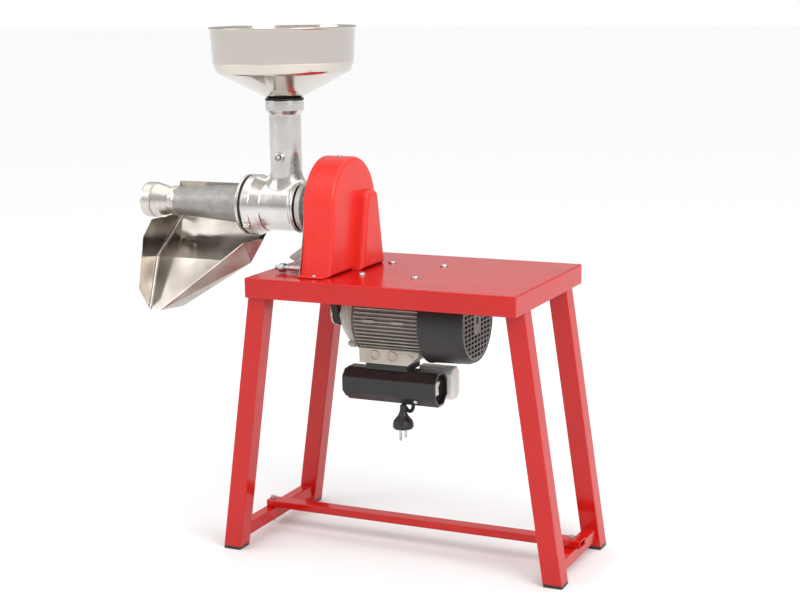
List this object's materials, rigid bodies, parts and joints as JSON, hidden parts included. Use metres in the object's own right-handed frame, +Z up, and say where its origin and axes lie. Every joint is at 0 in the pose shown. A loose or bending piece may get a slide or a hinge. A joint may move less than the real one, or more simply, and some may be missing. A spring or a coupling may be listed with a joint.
{
  "type": "electric fruit press",
  "caption": "Bench-mounted electric fruit press: steel hopper, cast body with auger and perforated cone, juice chute, and a belt drive from a motor under the bench.",
  "frame": {"origin": "on the floor, under the middle of the box that holds the whole machine", "axes": "+Z up, +X along the bench away from the strainer, -Y towards the side with the juice spout"},
  "size_m": [0.7566, 0.295, 0.822],
  "materials": {
    "red_paint": "gloss red enamel",
    "red_plastic": "moulded red plastic",
    "cast_aluminium": "polished casting",
    "stainless": "polished stainless sheet",
    "steel": "zinc-plated steel",
    "motor_paint": "satin grey-beige paint on casting",
    "black_plastic": "moulded black plastic",
    "grey_plastic": "light grey moulded plastic",
    "white_plastic": "white moulded plastic",
    "rubber": "black rubber",
    "iron": "laminated electrical steel"
  },
  "bodies": {
    "stand": {"bench_top": "red_paint", "leg_front_left": "red_paint", "leg_back_left": "red_paint", "leg_front_right": "red_paint", "leg_back_right": "red_paint", "end_rung_left": "red_paint", "end_rung_right": "red_paint", "long_rail": "red_paint", "foot_cap_front_left": "black_plastic", "foot_cap_back_left": "black_plastic", "foot_cap_front_right": "black_plastic", "foot_cap_back_right": "black_plastic", "fan_cover": "black_plastic", "starter_housing": "black_plastic", "mains_plug": "black_plastic", "rail_bolt_left": "steel", "rail_bolt_right": "steel", "motor_bolt_front_left": "steel", "motor_bolt_back_left": "steel", "motor_bolt_front_right": "steel", "motor_bolt_back_right": "steel", "motor_bearing_front": "steel", "motor_bearing_rear": "steel", "plug_pins": "steel", "bracket_bolt_1": "steel", "bracket_bolt_2": "steel", "bearing_left": "steel", "bearing_right": "steel", "guard_stud": "steel", "guard_back_plate": "steel", "neck_screw": "steel", "motor_shell": "motor_paint", "motor_front_shield": "motor_paint", "motor_rear_shield": "motor_paint", "stator_core": "iron", "terminal_base": "cast_aluminium", "bearing_bracket": "cast_aluminium", "press_body": "cast_aluminium", "run_capacitor": "grey_plastic", "power_cable": "rubber", "v_belt": "rubber", "rear_seal": "rubber", "belt_guard": "red_plastic"},
    "auger_drive": {"drive_shaft": "steel", "large_pulley": "cast_aluminium", "pulley_nut": "steel", "auger": "cast_aluminium"},
    "motor_rotor": {"motor_shaft": "steel", "rotor_core": "iron", "motor_fan": "black_plastic", "motor_pulley": "cast_aluminium"},
    "hopper_unit": {"hopper": "stainless", "hopper_seal": "rubber"},
    "strainer_unit": {"strainer_cone": "stainless", "strainer_flange": "cast_aluminium", "mouth_gasket": "rubber", "outlet_tube": "cast_aluminium", "outlet_ring": "cast_aluminium"},
    "chute_unit": {"juice_chute": "stainless"},
    "switch_unit": {"switch_rocker": "white_plastic"}
  },
  "joints": [
    {"name": "auger_spin", "type": "hinge", "parent": "stand", "child": "auger_drive", "pos_m": [-0.03135, -0.019, 0.54], "axis": [1, 0, 0], "continuous": true},
    {"name": "motor_spin", "type": "hinge", "parent": "stand", "child": "motor_rotor", "pos_m": [-0.03135, -0.003, 0.372], "axis": [1, 0, 0], "continuous": true},
    {"name": "hopper_lift", "type": "slide", "parent": "stand", "child": "hopper_unit", "axis": [0, 0, 1], "range_m": [0, 0.06]},
    {"name": "strainer_pull", "type": "slide", "parent": "stand", "child": "strainer_unit", "axis": [-1, 0, 0], "range_m": [0, 0.15]},
    {"name": "chute_drop", "type": "slide", "parent": "strainer_unit", "child": "chute_unit", "axis": [0, 0, -1], "range_m": [0, 0.08]},
    {"name": "switch_press", "type": "hinge", "parent": "stand", "child": "switch_unit", "pos_m": [0.13865, -0.022, 0.2645], "axis": [0, -1, 0], "range_deg": [0, 14]}
  ],
  "couplings": [
    {"joint": "motor_spin", "follows": "auger_spin", "ratio": 3.4595}
  ]
}
